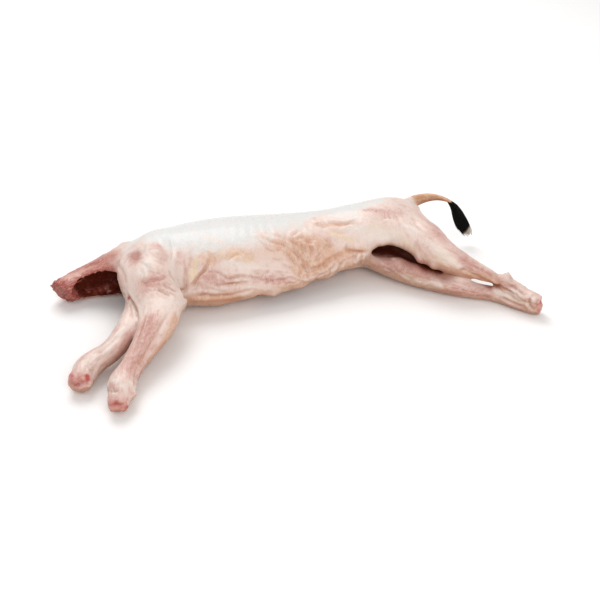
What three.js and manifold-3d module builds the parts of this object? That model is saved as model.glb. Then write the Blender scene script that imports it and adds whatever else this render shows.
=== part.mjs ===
// A whole suckling goat kid, skinned and headless, lying on its right side.
// Millimetres, +Z up: neck towards -X, hind feet towards +X, belly towards -Y, back towards +Y.
import * as THREE from "three";
import { mergeVertices } from "three/addons/utils/BufferGeometryUtils.js";
import Module from "manifold-3d";

const wasm = await Module();
wasm.setup();

// How finely the skins are drawn.
const TRUNK_SIDES = 40;
const TRUNK_STEPS = 44;
const LIMB_SIDES = 18;
const STEPS_PER_STATION = 3;
const LOOK_AHEAD = 0.02; // the share of a limb over which its direction is taken
const TAIL_SIDES = 12;
const HAIR_SIDES = 20;
const LUMP_SIDES = 16;

// The trunk from its front to the rump. Each station is a section across the spine: x, the
// spine's edge y and z, the belly's edge y and z, the crest's y and z, the keel's z, the tuck of
// the belly. A keel below zero is what the lying side's own weight presses flat.
const TRUNK = {
  inlet: [-274, 98, 46, 58, 42, 76, 60, 24, 1.9],
  breast: [-262, 112, 47, 32, 40, 74, 76, 8, 1.9],
  firstRibs: [-240, 128, 49, 10, 36, 73, 88, -2, 1.9],
  blades: [-205, 145, 52, -6, 34, 78, 98, -5, 1.9],
  heart: [-150, 156, 55, -12, 32, 78, 104, -6, 1.9],
  chest: [-90, 159, 56, -13, 29, 76, 105, -6, 1.7],
  lastRibs: [-30, 157, 55, -9, 30, 78, 101, -6, 1.45],
  waist: [30, 154, 54, 3, 34, 84, 97, -6, 1.25],
  flank: [80, 151, 54, 18, 38, 86, 97, -6, 1.2],
  loin: [125, 149, 57, 24, 48, 88, 102, -6, 1.3],
  hips: [170, 148, 62, 34, 56, 94, 107, -5, 1.5],
  croup: [200, 143, 65, 54, 60, 102, 103, 0, 1.8],
  rump: [222, 132, 66, 76, 62, 106, 94, 10, 1.9],
  rumpEnd: [238, 118, 66, 94, 63, 106, 80, 34, 1.9],
};
const SPINE_FULLNESS = 2.25;
const BELLY_FULLNESS = 1.9;

// Neck, legs, tail and hollows: x, y, z of the middle, half the width and half the height.
const NECK = {
  root: [-195, 88, 54, 58, 46],
  base: [-245, 87, 48, 52, 41],
  lower: [-285, 89, 38, 42, 35],
  middle: [-325, 91, 28, 32, 26.5],
  upper: [-354, 84, 25, 25, 22],
  bend: [-376, 72, 24, 22, 19],
  pastCut: [-400, 56, 23, 19, 17],
};
const THROAT = {
  depth: [-236, 80, 44, 16, 12],
  inlet: [-258, 70, 40, 28, 22],
  lower: [-292, 68, 34, 34, 26],
  middle: [-325, 66, 28, 33, 20.5],
  upper: [-343, 62, 26, 27, 16],
  end: [-355, 59, 25, 12, 7],
};
const LEFT_FORELEG = {
  bladeTop: [-184, 118, 80, 18, 12],
  blade: [-205, 92, 82, 36, 22],
  shoulder: [-227, 58, 76, 46, 30],
  upperArm: [-236, 20, 67, 47.5, 33],
  armpit: [-235, -14, 58, 42, 30],
  elbow: [-228, -46, 50, 35, 26],
  forearmTop: [-238, -80, 43, 30.5, 23.5],
  forearm: [-254, -109, 36, 22.5, 19.5],
  forearmEnd: [-273, -137, 29, 18.5, 17.5],
  aboveKnee: [-287, -158, 24, 17.5, 17],
  kneeTop: [-297, -175, 22, 20, 18],
  knee: [-301, -193, 21, 20, 17.5],
  belowKnee: [-305, -211, 19, 16.5, 15],
  cut: [-308, -224, 18, 14, 12.5],
};
const RIGHT_FORELEG = {
  armpit: [-226, 30, 36, 36, 28],
  elbow: [-252, -16, 35, 26, 23],
  forearm: [-279, -66, 33, 19.5, 19.5],
  forearmEnd: [-300, -98, 28, 17, 17],
  aboveKnee: [-318, -112, 24, 17, 17],
  kneeTop: [-333, -120, 21, 18.5, 18],
  knee: [-345, -133, 20, 19.5, 18.5],
  belowKnee: [-354, -152, 18.5, 19, 17.5],
  cut: [-359, -166, 17.5, 15.5, 14],
};
const LEFT_HIND_LEG = {
  hip: [163, 108, 60, 46, 37],
  haunch: [177, 84, 67, 58, 38],
  thighTop: [193, 57, 70, 51, 35],
  thigh: [209, 26, 70, 41, 32],
  thighEnd: [223, -5, 67, 31, 27],
  stifle: [239, -27, 62, 24, 23],
  shankTop: [260, -40, 54, 18.5, 19],
  shank: [283, -54, 47, 12, 14],
  shankEnd: [303, -68, 42, 9, 11],
  hock: [320, -82, 36, 12, 13],
  hockEnd: [335, -101, 30, 13, 12],
  belowHock: [347, -117, 28, 12, 10.5],
  cut: [356, -128, 27, 10.5, 9.5],
};
const RIGHT_HIND_LEG = {
  haunch: [140, 74, 42, 46, 36],
  thighTop: [161, 50, 36, 40, 33],
  thigh: [181, 23, 31, 34, 30],
  thighEnd: [209, -5, 26, 28, 26],
  stifle: [236, -29, 22, 22, 21],
  shankTop: [256, -46, 18, 16, 17],
  shank: [277, -59, 15, 12, 14],
  shankEnd: [299, -70, 14, 10, 13],
  hock: [319, -84, 14, 13, 14],
  hockEnd: [335, -102, 14, 13, 14],
  belowHock: [350, -118, 13, 12, 12.5],
  cut: [361, -128, 12, 9.5, 10],
};
const TAIL = {
  inRump: [200, 126, 74, 16, 12],
  root: [220, 132, 79, 12.5, 12],
  rise: [238, 135, 83, 10.5, 10],
  top: [256, 136, 85.5, 8.5, 8],
  fall: [272, 132, 86, 6.2, 6],
  droop: [286, 127, 83.5, 4.6, 4.4],
  hang: [297, 123, 78, 3.4, 3.2],
  tip: [305, 121, 69, 2.6, 2.6],
};
const TAIL_HAIR = {
  collar: [294, 125, 79.5, 4.9, 4.9],
  tailTip: [303, 121.5, 70, 5.6, 5.2],
  spread: [308.5, 118.5, 60, 7, 6],
  body: [312, 115, 49, 9, 7],
  widest: [318, 111, 37, 11, 8],
  taper: [325, 107, 26, 8, 6.5],
  end: [331, 105, 16, 4, 3.5],
};
const HAIR_GAP = 0.3; // between the tail and the hair that sleeves its tip
const BELLY_SLIT = {
  front: [-70, 2, 17, 3, 3],
  ribs: [-40, 6, 16, 14, 5],
  waist: [20, 16, 15, 20, 6],
  flank: [70, 32, 16, 24, 8],
  loin: [105, 44, 20, 24, 8],
  back: [130, 52, 26, 10, 4],
};
const GROIN = {
  front: [118, 48, 54, 8, 5],
  belly: [145, 40, 56, 28, 10],
  thighs: [175, 24, 56, 26, 9],
  narrowing: [205, 0, 51, 19, 7],
  stifles: [235, -30, 43, 10, 4],
};

// Joints and bone ends: x, y, z of the middle, half sizes along x, y and z, turn in degrees.
const LUMPS = {
  brisket: [-132, 4, 22, 46, 15, 13, 3],
  elbow: [-205, -40, 51, 21, 19, 17, 20],
  hockPoint: [318, -74, 43, 12, 8, 8, -35],
  lowerHockPoint: [322, -84, 20, 9, 9, 9, -30],
};

// Muscles and hollows that every skin follows: x, y, z of the middle, reach, outward height.
const SWELLS = {
  behindShoulder: [-178, 70, 100, 34, 4],
  shoulderHollow: [-258, 55, 92, 16, -5],
  triceps: [-205, 10, 92, 26, 4],
  shoulderPoint: [-272, 40, 74, 20, 4],
  loin: [100, 90, 100, 40, 5],
  flankFold: [128, 45, 84, 30, 9],
  hipHollow: [205, 62, 100, 20, -4],
  haunch: [165, 90, 108, 34, 4],
  stifle: [240, -48, 66, 14, 3],
  lowerStifle: [236, -52, 24, 14, 3],
  breast: [-262, 20, 40, 26, 6],
};

// The cut that took the head off: a point on it, and its turn and lean from square to x.
const NECK_CUT = [-365.5, 65.5, 20.5];
const NECK_CUT_TURN = THREE.MathUtils.degToRad(46);
const NECK_CUT_LEAN = THREE.MathUtils.degToRad(-14);

const CUTTER = { deep: 60, wide: 120 };
const GROUND = { long: 1200, wide: 800, deep: 100 };

// The sizes between two stations, by a smooth curve through all of them; share runs from 0 to 1.
function sizesAt(stations, share) {
  const place = share * (stations.length - 1);
  const first = Math.min(Math.floor(place), stations.length - 2);
  const f = place - first;
  const pick = (n) => stations[Math.max(0, Math.min(stations.length - 1, n))];
  return stations[0].map((_, column) => {
    const [a, b, c, d] = [-1, 0, 1, 2].map((n) => pick(first + n)[column]);
    const bend = 2 * a - 5 * b + 4 * c - d + f * (3 * b - a - 3 * c + d);
    return b + 0.5 * f * (c - a + f * bend);
  });
}

// A closed skin through rings of points, with a fan round the middle of each end.
function skinThrough(rings) {
  const sides = rings[0].length;
  const points = rings.flat();
  const index = [];
  for (let ring = 0; ring < rings.length - 1; ring++)
    for (let side = 0; side < sides; side++) {
      const a = ring * sides + side;
      const b = ring * sides + ((side + 1) % sides);
      index.push(a, b, b + sides, a, b + sides, a + sides);
    }
  for (const [ring, turned] of [[0, true], [rings.length - 1, false]]) {
    const middle = points.length;
    const sum = rings[ring].reduce((total, p) => total.add(p), new THREE.Vector3());
    points.push(sum.divideScalar(sides));
    for (let side = 0; side < sides; side++) {
      const a = ring * sides + side;
      const b = ring * sides + ((side + 1) % sides);
      index.push(...(turned ? [b, a, middle] : [a, b, middle]));
    }
  }
  return new THREE.BufferGeometry().setFromPoints(points).setIndex(index);
}

// A point of a skin, moved away from its section's middle by the muscles near it.
function swollen(point, middle) {
  let height = 0;
  for (const [x, y, z, reach, peak] of Object.values(SWELLS)) {
    const away = point.distanceTo(new THREE.Vector3(x, y, z)) / reach;
    height += peak * Math.exp(-away * away);
  }
  const outward = point.clone().sub(middle).normalize();
  return point.addScaledVector(outward, height);
}

// The trunk's sections stand across the spine: four quarter ovals between its four edges.
function trunkSkin() {
  const power = (value, fullness) => Math.sign(value) * Math.abs(value) ** (2 / fullness);
  const stations = Object.values(TRUNK);
  const rings = [];
  for (let step = 0; step <= TRUNK_STEPS; step++) {
    const sizes = sizesAt(stations, step / TRUNK_STEPS);
    const [x, spineY, spineZ, bellyY, bellyZ, crestY, crestZ, keelZ, tuck] = sizes;
    const middle = new THREE.Vector3(x, crestY, (crestZ + keelZ) / 2);
    const ring = [];
    for (let side = 0; side < TRUNK_SIDES; side++) {
      const angle = (side / TRUNK_SIDES) * 2 * Math.PI;
      const towardsSpine = Math.cos(angle) > 0;
      const underBelly = !towardsSpine && Math.sin(angle) < 0;
      const fullness = towardsSpine ? SPINE_FULLNESS : underBelly ? tuck : BELLY_FULLNESS;
      const across = Math.abs(power(Math.cos(angle), fullness));
      const rise = power(Math.sin(angle), fullness);
      const edgeY = towardsSpine ? spineY : bellyY;
      const edgeZ = towardsSpine ? spineZ : bellyZ;
      const reach = rise > 0 ? crestZ - edgeZ : edgeZ - keelZ;
      const point = new THREE.Vector3(x, crestY + (edgeY - crestY) * across, edgeZ + reach * rise);
      ring.push(swollen(point, middle));
    }
    rings.push(ring);
  }
  return skinThrough(rings);
}

// A limb's rings stand across its middle line, their height as near upright as the line lets it be.
function limbSkin(stations, { sides = LIMB_SIDES, swells = false } = {}) {
  const steps = (stations.length - 1) * STEPS_PER_STATION;
  const middle = (share) => new THREE.Vector3(...sizesAt(stations, share).slice(0, 3));
  const rings = [];
  for (let step = 0; step <= steps; step++) {
    const share = step / steps;
    const [x, y, z, halfWidth, halfHeight] = sizesAt(stations, share);
    const after = middle(Math.min(1, share + LOOK_AHEAD));
    const ahead = after.sub(middle(Math.max(0, share - LOOK_AHEAD))).normalize();
    const wide = new THREE.Vector3().crossVectors(new THREE.Vector3(0, 0, 1), ahead).normalize();
    const high = new THREE.Vector3().crossVectors(ahead, wide);
    const ring = [];
    for (let side = 0; side < sides; side++) {
      const angle = (side / sides) * 2 * Math.PI;
      const point = new THREE.Vector3(x, y, z)
        .addScaledVector(wide, halfWidth * Math.cos(angle))
        .addScaledVector(high, halfHeight * Math.sin(angle));
      ring.push(swells ? swollen(point, new THREE.Vector3(x, y, z)) : point);
    }
    rings.push(ring);
  }
  return skinThrough(rings);
}

// A closed skin as a solid that can be joined and cut.
function solidOf(skin) {
  skin.deleteAttribute("normal");
  skin.deleteAttribute("uv");
  const merged = mergeVertices(skin, 1e-4);
  const made = new wasm.Manifold(
    new wasm.Mesh({
      numProp: 3,
      vertProperties: merged.attributes.position.array,
      triVerts: new Uint32Array(merged.index.array),
    }),
  );
  if (made.volume() < 0) throw new Error("a skin is inside out");
  return made;
}

// An ellipsoid turned about the upright.
function lump([x, y, z, alongX, alongY, alongZ, degrees]) {
  return new THREE.SphereGeometry(1, LUMP_SIDES, LUMP_SIDES / 2)
    .scale(alongX, alongY, alongZ)
    .rotateZ(THREE.MathUtils.degToRad(degrees))
    .translate(x, y, z);
}

function skinOf(solid) {
  const { vertProperties, triVerts } = solid.getMesh();
  return new THREE.BufferGeometry()
    .setAttribute("position", new THREE.BufferAttribute(vertProperties, 3))
    .setIndex(new THREE.BufferAttribute(triVerts, 1));
}

function limb(stations, choices) {
  return solidOf(limbSkin(Object.values(stations), choices));
}

function carcass() {
  let body = solidOf(trunkSkin());
  for (const stations of [NECK, LEFT_FORELEG, RIGHT_FORELEG, LEFT_HIND_LEG, RIGHT_HIND_LEG])
    body = body.add(limb(stations, { swells: true }));
  body = body.add(limb(TAIL, { sides: TAIL_SIDES }));
  for (const sizes of Object.values(LUMPS)) body = body.add(solidOf(lump(sizes)));
  for (const stations of [THROAT, BELLY_SLIT, GROIN]) body = body.subtract(limb(stations));
  const cutter = new THREE.BoxGeometry(CUTTER.deep, CUTTER.wide, CUTTER.wide);
  cutter.translate(-CUTTER.deep / 2, 0, 0);
  cutter.rotateY(NECK_CUT_LEAN).rotateZ(NECK_CUT_TURN).translate(...NECK_CUT);
  body = body.subtract(solidOf(cutter));
  const ground = new THREE.BoxGeometry(GROUND.long, GROUND.wide, GROUND.deep);
  ground.translate(0, 0, -GROUND.deep / 2);
  return skinOf(body.subtract(solidOf(ground)));
}

// The hair at the tail's tip sleeves it: its bore is the tail itself, a gap wider and longer.
function tailHair() {
  const bore = Object.values(TAIL).map(([x, y, z, wide, high]) => [
    x, y, z, wide + HAIR_GAP, high + HAIR_GAP,
  ]);
  const [x, y, z] = TAIL.tip;
  const [fromX, fromY, fromZ] = TAIL.hang;
  const past = new THREE.Vector3(x - fromX, y - fromY, z - fromZ).setLength(HAIR_GAP);
  bore.at(-1).splice(0, 3, x + past.x, y + past.y, z + past.z);
  const whole = limb(TAIL_HAIR, { sides: HAIR_SIDES });
  return skinOf(whole.subtract(solidOf(limbSkin(bore, { sides: TAIL_SIDES }))));
}

const flesh = new THREE.MeshStandardMaterial({ color: 0xe3c6bb, roughness: 0.45, metalness: 0 });

const hair = new THREE.MeshStandardMaterial({ color: 0x171412, roughness: 0.6, metalness: 0 });

const kid = new THREE.Group();
const pieces = [
  ["carcass", carcass(), flesh],
  ["tail_hair", tailHair(), hair],
];
for (const [name, skin, material] of pieces) {
  const piece = new THREE.Mesh(skin, material);
  piece.name = name;
  kid.add(piece);
}

// The origin is under the middle of the whole, on the surface that it lies on.
const bounds = new THREE.Box3().setFromObject(kid);
const middle = bounds.getCenter(new THREE.Vector3());
kid.position.set(-middle.x, -middle.y, -bounds.min.z);

export default kid;
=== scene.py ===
"""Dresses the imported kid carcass: a worked skin of meat, fat and membrane, and hair on its tail."""

import math
import random

import bmesh
import bpy
import numpy as np
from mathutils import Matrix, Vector, noise
from mathutils.bvhtree import BVHTree
from mathutils.kdtree import KDTree


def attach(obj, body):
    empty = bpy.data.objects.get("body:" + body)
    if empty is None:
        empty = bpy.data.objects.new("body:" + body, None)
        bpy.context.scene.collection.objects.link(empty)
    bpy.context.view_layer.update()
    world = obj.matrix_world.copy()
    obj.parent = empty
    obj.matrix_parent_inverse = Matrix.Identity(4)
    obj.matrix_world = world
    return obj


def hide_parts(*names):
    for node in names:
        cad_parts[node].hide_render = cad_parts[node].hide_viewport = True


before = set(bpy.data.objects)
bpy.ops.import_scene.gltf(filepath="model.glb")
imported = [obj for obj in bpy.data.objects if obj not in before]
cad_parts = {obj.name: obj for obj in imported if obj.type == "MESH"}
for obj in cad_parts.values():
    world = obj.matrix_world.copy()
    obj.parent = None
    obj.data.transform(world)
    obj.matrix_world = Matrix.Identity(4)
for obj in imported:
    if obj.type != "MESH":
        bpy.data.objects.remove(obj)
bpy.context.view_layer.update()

MM = 0.001

# Where the photograph was taken from, and its size in pixels.
CAMERA_TURN = -13.0
CAMERA_RISE = 34.0
CAMERA_DISTANCE = 1.62
CAMERA_LENS = 60.0
CAMERA_SENSOR = 36.0
CAMERA_AIM = (0.0117, 0.0341, 0.0)
PHOTO_SIDE = 600.0

# How closely the skin is meshed, and how much of the solid's facets is worked out of it.
SKIN_PITCH = 0.00228
MERGE_GAP = 0.0001
BODY_TURNS = 26
LEG_TURNS = 9
TRIM_TURNS = 3
LAY_STEP = 3.0

# A fold's banks stand this many of its widths off, and are this many wide.
BANK_OFF = 2.3
BANK_WIDE = 1.2

# How wide the noise makes a slack fold's valley, and the shade in it.
VALLEY_WIDE = 0.12
SHADE_WIDE = 0.16

# The middle lines of the parts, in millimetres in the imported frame.
NEAR_FORELEG = [(-224, 54, 67), (-216, -12, 50), (-226, -46, 43), (-242, -75, 36), (-261, -103, 29),
                (-275, -124, 24), (-289, -159, 21), (-296, -190, 18)]
FAR_FORELEG = [(-214, 64, 36), (-240, 18, 35), (-267, -32, 33), (-288, -64, 28), (-306, -78, 24),
               (-333, -99, 20), (-342, -118, 18), (-347, -132, 17)]
NEAR_HIND_LEG = [(175, 142, 60), (205, 91, 70), (221, 60, 70), (235, 29, 67), (251, 7, 62),
                 (272, -6, 54), (295, -20, 47), (315, -34, 42), (332, -48, 36), (347, -67, 31),
                 (359, -83, 30), (368, -94, 29)]
FAR_HIND_LEG = [(152, 108, 42), (173, 84, 36), (193, 57, 31), (221, 29, 26), (248, 5, 22),
                (268, -12, 18), (289, -25, 15), (311, -36, 14), (331, -50, 14), (347, -68, 14),
                (362, -84, 13), (373, -94, 12)]
NECK_LINE = [(-233, 121, 48), (-273, 123, 38), (-313, 125, 28), (-342, 118, 25), (-364, 106, 24)]
THROAT_LINE = [(-224, 114, 44), (-246, 104, 40), (-280, 102, 34), (-313, 100, 28), (-342, 94, 25),
               (-362, 84, 24), (-390, 68, 23)]
TAIL_LINE = [(212, 160, 74), (232, 166, 80), (250, 169, 85), (268, 170, 87), (284, 166, 87),
             (298, 161, 84), (309, 157, 78), (317, 155, 69)]
GROIN_LINE = [(130, 82, 54), (157, 74, 56), (187, 58, 56), (217, 34, 51), (247, 4, 43)]
BELLY_LINE = [(-58, 36, 17), (-28, 40, 16), (32, 50, 15), (82, 66, 16), (117, 78, 20), (142, 86, 26)]

# How far off its middle line a part ends, and how far off it is no longer felt.
LEG_REACH = (24.0, 44.0)
TAIL_REACH = (9.0, 16.0)
NECK_REACH = (34.0, 50.0)
FOOT_REACH = (16.0, 28.0)
THROAT_REACH = (36.0, 48.0)
GROIN_REACH = (18.0, 34.0)
BELLY_REACH = (12.0, 22.0)

# The cut ends of the legs.
FOOT_ENDS = [(-296, -190, 18), (-347, -132, 17), (368, -94, 29), (373, -94, 12)]

# A place in the tables below is in millimetres, or has two numbers: the photograph's pixels, which
# the camera casts on the skin.

# Rounded forms of each region: middle, reach and height, in millimetres.
FORMS = {
    "shoulder_blade": [((134.5, 258), 13, -4.5), ((146, 264), 7, 2.2)],
    "neck_root": [((121, 241), 10, 3.0), ((132, 238), 7, -2.0)],
    "shoulder": [
      ((-213, 24, 92), 20, 2.5), ((-215, 72, 104), 20, 2.0), ((-207, 46, 98), 9, -1.6),
      ((-229, 6, 85), 11, -1.6)],
    "behind_the_arm": [((193, 268), 11, -3.5), ((201, 262), 9, 2.0)],
    "brisket": [((222, 283), 17, 3.0), ((204, 281), 12, 2.0), ((214, 262), 12, -2.5)],
    "rib_fat": [((235, 264), 10, 2.2), ((252, 266), 9, 1.6)],
    "groin_edge": [
      ((384, 243), 9, 3.5), ((395, 246), 9, 4.5), ((407, 252), 9, 5.0), ((420, 259.5), 9, 5.0),
      ((433, 266), 8, 4.0)],
    "far_thigh_top": [((398, 263), 14, 4.5), ((416, 270), 13, 4.5), ((432, 275), 9, 2.5)],
    "flank": [((296, 256), 18, -4.0), ((307, 269), 12, -4.0), ((317, 248), 13, 2.5), ((331, 247), 8, -2.5)],
    "haunch": [((212, 66, 101), 15, -2.0), ((164, 90, 101), 26, 2.5), ((239, 88, 84), 18, -2.0)],
    "knees": [
      ((235, -4, 72), 14, 1.5), ((459, 267), 6, 2.2), ((464, 271), 5, -1.4), ((229, -9, 22), 8, 2.0)],
    "near_elbow_and_wrist": [
      ((-181, -14, 62), 12, 2.0), ((113, 381), 10, 1.8), ((125, 380), 8, 1.5), ((111, 391), 5, -1.3)],
    "near_forefoot": [
      ((129, 401), 5, -3.0), ((105, 394), 6, -2.4), ((133, 394), 5, 5.5), ((113, 409), 5.5, 3.6),
      ((123, 409), 4, 3.4), ((116, 403), 3.6, -3.0)],
    "far_wrist_and_forefoot": [
      ((88, 366), 10, 1.8), ((93, 372), 7, -2.6), ((69, 369), 6, -2.2), ((79, 379), 5, -3.2),
      ((74, 380), 5.5, 3.4), ((82, 388), 5.5, 3.8), ((90, 384), 5, 3.4)],
    "heel": [
      ((319, -41, 52), 7, 1.0), ((499, 273.5), 7, -6.5), ((507, 276), 5.5, 8.0),
      ((513.5, 280.5), 5, -5.0)],
    "hocks": [((515, 293), 7, 2.4), ((508, 285), 5, -1.8), ((527, 297), 6, 1.3), ((505, 297), 7, 1.6)],
    "hind_feet": [
      ((527, 291), 7, -2.0), ((535, 294), 5, 2.0), ((540, 303), 4.5, -3.0), ((540, 299), 5, 2.0),
      ((538, 307), 5, 2.0)],
}

# Folds of each region: places along one, width, depth, and how high the skin stands on its left
# and right.
# Every fold's crease also gets painted shade.
FOLDS = {
    "arm": [
      ([(185, 259), (186, 268), (186, 280), (185, 290), (184, 299)], 3.2, 4.0, 1.0, 2.0),
      ([(-153, 74, 97), (-158, 58, 88), (-163, 43, 74)], 3.0, 1.6, 0.8, 0.3),
      ([(168, 268), (172, 277), (177, 284)], 2.6, 1.6, 0.9, 0.7)],
    "brisket": [
      ([(210, 260), (206, 268), (199, 275), (194, 283), (188, 289)], 2.6, 4.0, 1.6, 1.2),
      ([(201, 274), (210, 271), (219, 273), (229, 278), (241, 276), (254, 278)], 2.4, 2.0, 0.4, 1.4),
      ([(206, 283), (220, 286), (236, 284), (248, 284)], 2.4, 1.2, 0.8, 0.6),
      ([(189, 295), (205, 296), (228, 295.5), (242, 292), (253, 289.5)], 2.8, 1.3, 0.5, 0.6)],
    "elbow": [
      ([(161, 284), (169, 288), (177, 293)], 2.4, 2.6, 1.2, 0.8),
      ([(157, 289), (165, 293), (173, 297)], 2.4, 2.0, 1.0, 0.6),
      ([(152, 282), (160, 280), (167, 277)], 2.4, 1.5, 0.8, 0.6),
      ([(-205, 8, 86), (-197, 4, 82), (-191, 6, 80)], 1.9, 1.0, 0.5, 0.4)],
    "shoulder": [
      ([(171, 238), (173, 251), (171, 264)], 2.6, 1.5, 1.0, 0.4),
      ([(140, 267), (143, 276), (142, 287)], 2.8, 1.4, 0.8, 0.6),
      ([(119, 262), (124, 274), (126, 288)], 2.8, 1.4, 0.8, 0.5)],
    "breast": [
      ([(126, 293), (130, 299), (134, 306), (137, 313), (138, 322)], 2.4, 3.4, 1.6, 0.4),
      ([(129, 303), (131, 310), (131, 318)], 2.2, 1.6, 0.8, 0.5)],
    "flank_fingers": [
      ([(261, 236.5), (268, 240), (276, 243), (284, 245), (289, 252)], 2.8, 1.9, 0.8, 0.9),
      ([(272, 233.5), (279, 236.5), (286, 239)], 2.6, 1.4, 0.6, 0.6),
      ([(264, 247), (269, 250), (275, 251)], 2.6, 1.4, 0.6, 0.6),
      ([(272, 258), (278, 259.5), (284, 259)], 2.6, 1.4, 0.6, 0.6),
      ([(291, 236), (295, 234), (300, 230.5)], 2.6, 1.0, 0.5, 0.5)],
    "flank_folds": [
      ([(284, 238), (291, 241), (300, 248), (309, 262)], 3.4, 1.8, 0.8, 0.8),
      ([(306, 238), (310, 247), (309, 258), (306, 266)], 3.2, 1.8, 0.9, 0.7),
      ([(292, 246), (296, 251.5), (300, 257), (303.5, 263), (304.5, 268), (307, 273)],
       3.2, 2.8, 1.1, 1.1), ([(300, 243), (303, 247.5), (307, 253)], 2.6, 2.0, 0.9, 0.9),
      ([(287, 252), (291, 259), (296, 266)], 2.6, 1.4, 0.8, 0.8),
      ([(306, 272.5), (314, 270.5), (323, 266), (331, 263)], 4.0, 1.7, 0.8, 0.6),
      ([(300, 275), (310, 276), (320, 273)], 2.6, 1.2, 0.8, 0.6)],
    "flank_strokes": [
      ([(309, 245), (312, 250), (313, 257)], 2.6, 1.4, 0.7, 0.7),
      ([(318, 246), (320, 252), (319, 258)], 2.6, 1.2, 0.7, 0.7),
      ([(296, 240), (300, 238), (305, 236)], 2.8, 1.1, 0.6, 0.6),
      ([(281, 262), (287, 266), (295, 269)], 2.6, 1.2, 0.7, 0.7),
      ([(311, 261), (317, 259), (324, 256)], 2.8, 1.2, 0.7, 0.7)],
    "loin": [
      ([(331, 231), (339, 233), (349, 232)], 3.0, 0.9, 0.5, 0.5),
      ([(302, 239), (309, 240.5), (317, 239.5)], 4.0, 1.1, 0.5, 0.8),
      ([(324, 237), (328.5, 243), (331, 249)], 4.0, 1.8, 1.2, 0.4),
      ([(314, 222.5), (320, 226), (326.5, 229)], 2.8, 1.6, 0.6, 0.6),
      ([(324, 220.5), (333, 224), (344, 224.5), (357, 222)], 3.4, 1.2, 0.5, 0.3)],
    "groin": [
      ([(349, 241), (346, 246), (347.5, 250.5), (356, 252), (368, 252.5)], 2.4, 2.4, 1.2, 0.2),
      ([(346, 252), (337, 256), (330, 261), (321, 263)], 4.0, 1.5, 0.8, 0.8),
      ([(355.5, 254), (354, 260), (353, 266)], 2.4, 1.6, 0.6, 1.4),
      ([(363, 254), (361, 260), (360, 265)], 2.2, 1.4, 1.2, 0.6),
      ([(345, 258), (341, 266), (337, 272)], 2.4, 1.2, 0.6, 0.6)],
    "belly": [
      ([(333, 266), (331, 271), (328.5, 277)], 2.4, 1.8, 1.2, 0.4),
      ([(248, 271.5), (263, 272), (279, 273.5), (290, 276)], 2.4, 1.2, 0.8, 0.6)],
    "haunch": [
      ([(216, 98, 101), (212, 62, 102), (216, 44, 98), (223, 30, 94), (233, 8, 85)],
       3.2, 1.0, 0.4, 0.3),
      ([(185, 98, 106), (187, 68, 99), (192, 45, 90), (197, 28, 77)], 3.0, 0.8, 0.4, 0.4),
      ([(409, 200), (417, 203), (424, 208), (430, 213)], 2.4, 1.2, 0.2, 0.9)],
    "shank": [
      ([(271, -17, 69), (288, -25, 60), (302, -34, 51), (316, -45, 43), (327, -56, 40)],
       2.2, 1.3, 0.7, 0.5),
      ([(261, -22, 60), (282, -28, 48), (299, -34, 39), (313, -44, 36)], 2.4, 1.2, 0.4, 0.6)],
    "forelegs": [
      ([(-204, -40, 65), (-223, -71, 57), (-241, -96, 47), (-258, -121, 38), (-271, -145, 34)],
       3.0, 2.0, 0.9, 0.7),
      ([(-232, -29, 69), (-247, -60, 58), (-262, -94, 49), (-278, -123, 41)], 3.0, 1.4, 0.7, 0.6),
      ([(138, 368), (135, 377), (134, 388)], 2.4, 1.8, 0.9, 0.9),
      ([(-278, -60, 47), (-300, -80, 41), (-320, -93, 38)], 2.6, 1.4, 0.6, 0.6)],
    "forefeet": [
      ([(107, 390), (113, 392), (119, 390), (124, 393)], 1.9, 1.4, 0.7, 0.5),
      ([(108, 405), (114, 406), (120, 405), (125, 403)], 1.8, 1.8, 0.6, 0.8),
      ([(74, 386), (79, 385), (84, 382), (87, 378)], 1.8, 2.2, 0.6, 0.8),
      ([(88, 377), (88, 382), (86, 388)], 1.8, 2.0, 0.8, 0.6)],
    "neck_cord": [
      ([(-263, 112, 78), (-286, 118, 68), (-311, 123, 58), (-336, 122, 49)], 2.6, 1.2, 0.5, 0.5)],
    "hocks": [
      ([(490, 283), (500, 286), (509, 291), (519, 297)], 2.4, 1.8, 0.9, 0.6),
      ([(508, 284), (515, 288), (524, 292)], 2.2, 1.5, 0.8, 0.6),
      ([(500, 297), (511, 302), (523, 307)], 2.4, 1.5, 0.7, 0.8),
      ([(321, -54, 43), (330, -62, 41), (340, -74, 38), (349, -88, 34)], 1.9, 1.2, 0.6, 0.5)],
    "hind_foot_rings": [
      ([(531, 297), (529, 303), (531, 309)], 2.4, 3.0, 1.4, 2.2),
      ([(537, 299), (536, 304), (538, 309)], 2.2, 2.4, 1.4, 1.0)],
}

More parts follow.
